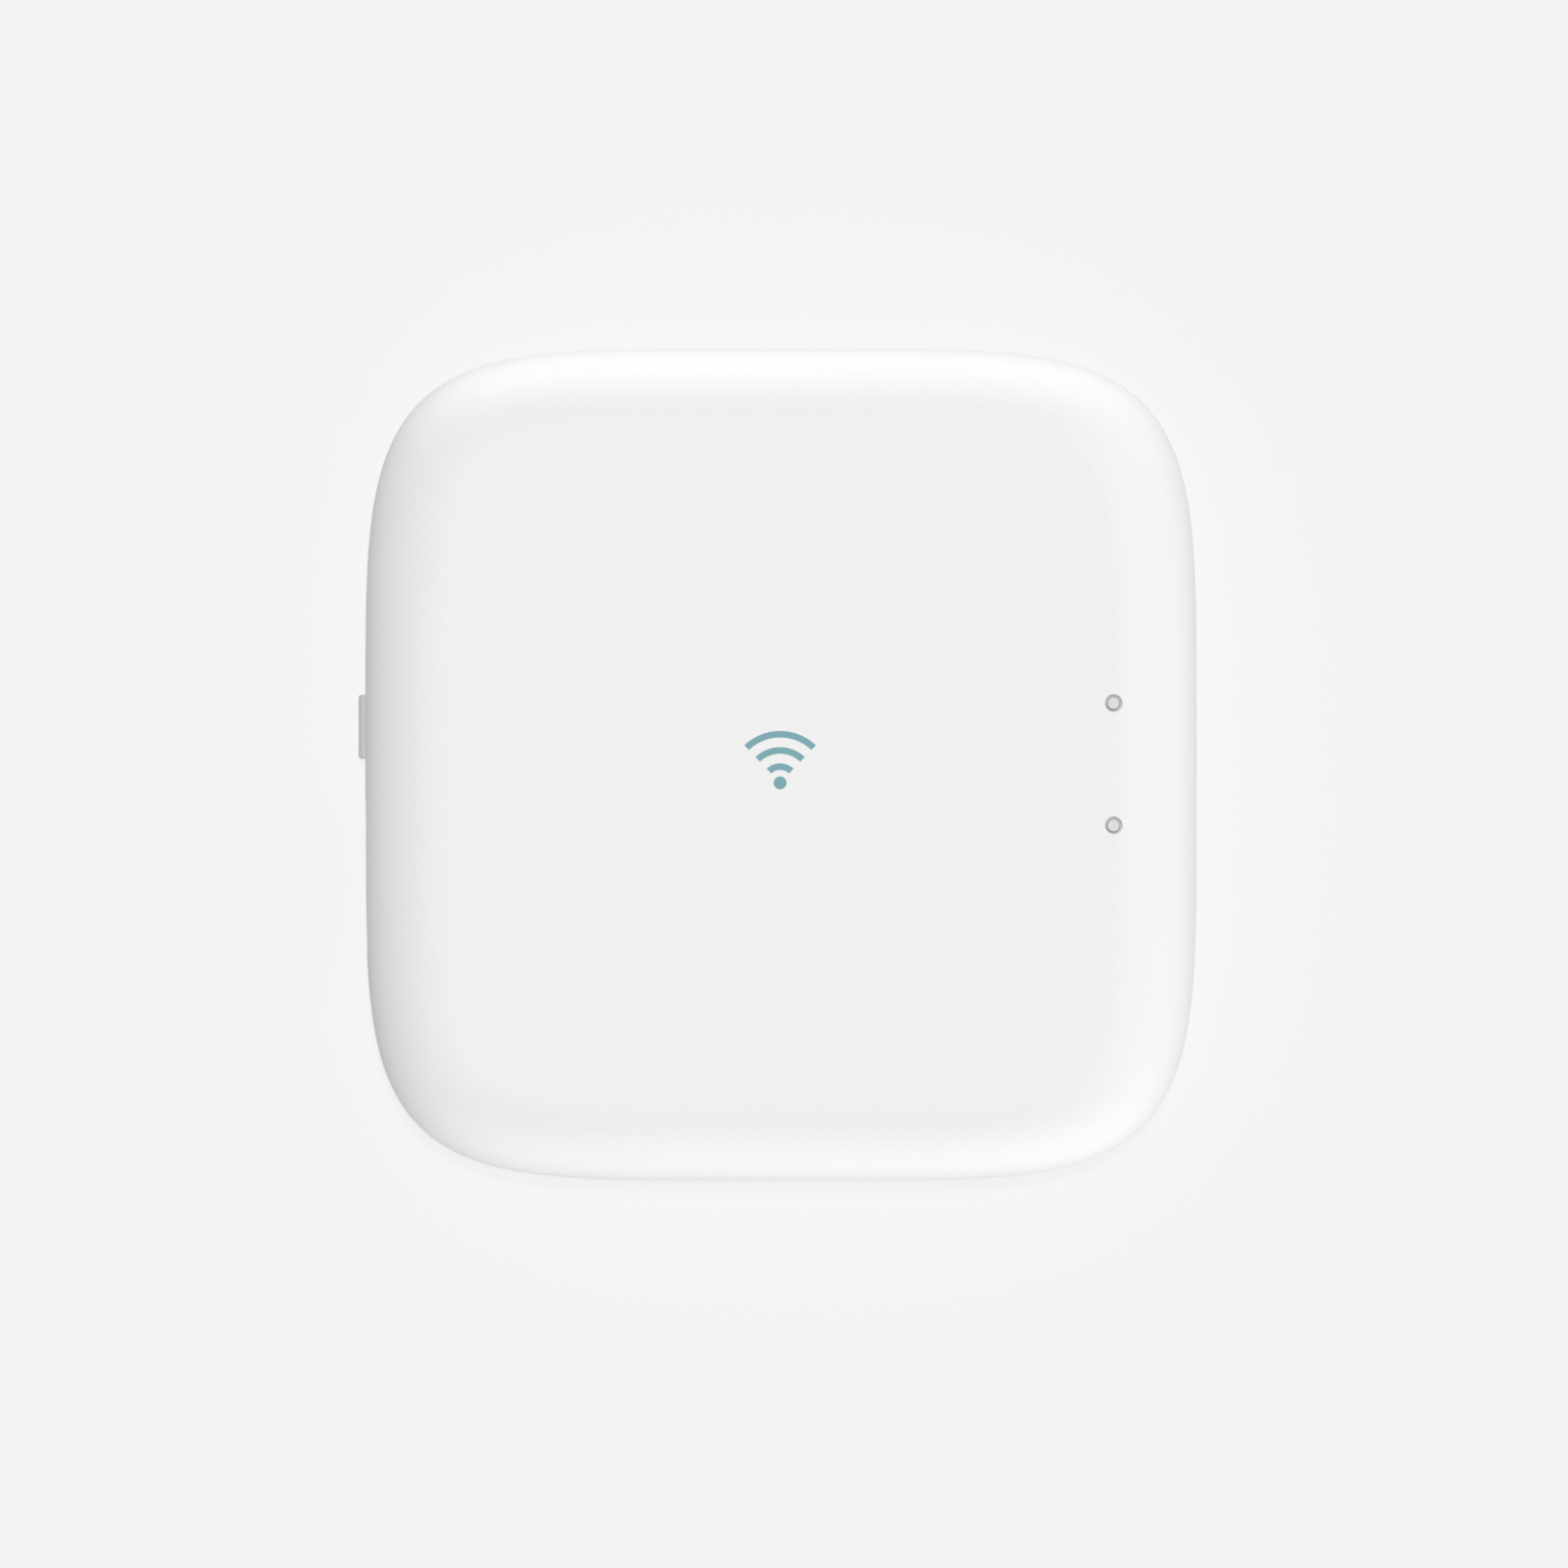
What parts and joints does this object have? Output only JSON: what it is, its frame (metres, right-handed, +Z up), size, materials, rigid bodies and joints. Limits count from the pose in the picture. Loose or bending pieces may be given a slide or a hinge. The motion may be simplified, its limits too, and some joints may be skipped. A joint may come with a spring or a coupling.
{
  "type": "smart home hub",
  "caption": "Low rounded-square smart home hub with two status lights on top, a side key, network and power sockets, wall keyholes, feet and a full circuit board inside.",
  "frame": {"origin": "middle of the rounded-square outline, on the surface that the feet stand on", "axes": "+Z up, out of the large top face; +X towards the two status lights; the sockets and the key are on the -X side; +Y towards the keyholes"},
  "size_m": [0.0908, 0.09, 0.023],
  "materials": {
    "shell_plastic": "satin",
    "key_plastic": "satin",
    "light_pipe": "gloss",
    "foot_rubber": "matte",
    "label_film": "matte",
    "screw_steel": "satin",
    "board_laminate": "satin",
    "tinned_metal": "satin",
    "gold_contact": "gloss",
    "black_plastic": "matte",
    "chip_resin": "matte",
    "aluminium_can": "satin",
    "ceramic": "matte",
    "led_lens": "gloss",
    "antenna_copper": "satin"
  },
  "bodies": {
    "housing": {"top_cover": "shell_plastic", "bottom_case": "shell_plastic", "light_pipe_network": "light_pipe", "light_pipe_power": "light_pipe", "foot_front_left": "foot_rubber", "foot_rear_left": "foot_rubber", "foot_front_right": "foot_rubber", "foot_rear_right": "foot_rubber", "blank_label": "label_film", "case_screws": "screw_steel", "board_screws": "screw_steel", "main_board": "board_laminate", "radio_board": "board_laminate", "ethernet_shield": "tinned_metal", "power_shell": "tinned_metal", "switch_plate": "tinned_metal", "processor_leads": "tinned_metal", "memory_leads": "tinned_metal", "flash_leads": "tinned_metal", "magnetics_leads": "tinned_metal", "regulator_leads": "tinned_metal", "radio_can": "tinned_metal", "crystal": "tinned_metal", "ethernet_contacts": "gold_contact", "power_contacts": "gold_contact", "switch_dome": "gold_contact", "ethernet_insert": "black_plastic", "power_insert": "black_plastic", "switch_base": "black_plastic", "capacitor_bases": "black_plastic", "processor_chip": "chip_resin", "memory_chip": "chip_resin", "flash_chip": "chip_resin", "magnetics_chip": "chip_resin", "regulator_chip": "chip_resin", "radio_chip": "chip_resin", "power_coil": "chip_resin", "resistors": "chip_resin", "capacitor_cans": "aluminium_can", "ceramic_capacitors": "ceramic", "led_network": "led_lens", "led_power": "led_lens", "radio_antenna": "antenna_copper"},
    "key": {"function_key": "key_plastic"},
    "plunger": {"switch_plunger": "black_plastic"}
  },
  "joints": [
    {"name": "key_press", "type": "slide", "parent": "housing", "child": "key", "axis": [1, 0, 0], "range_m": [0, 0.0004], "stiffness_N_per_m": 800, "springref_m": -0.0005},
    {"name": "plunger_press", "type": "slide", "parent": "housing", "child": "plunger", "axis": [1, 0, 0], "range_m": [0, 0.0003]}
  ],
  "couplings": [
    {"joint": "plunger_press", "follows": "key_press", "ratio": 0.75}
  ]
}
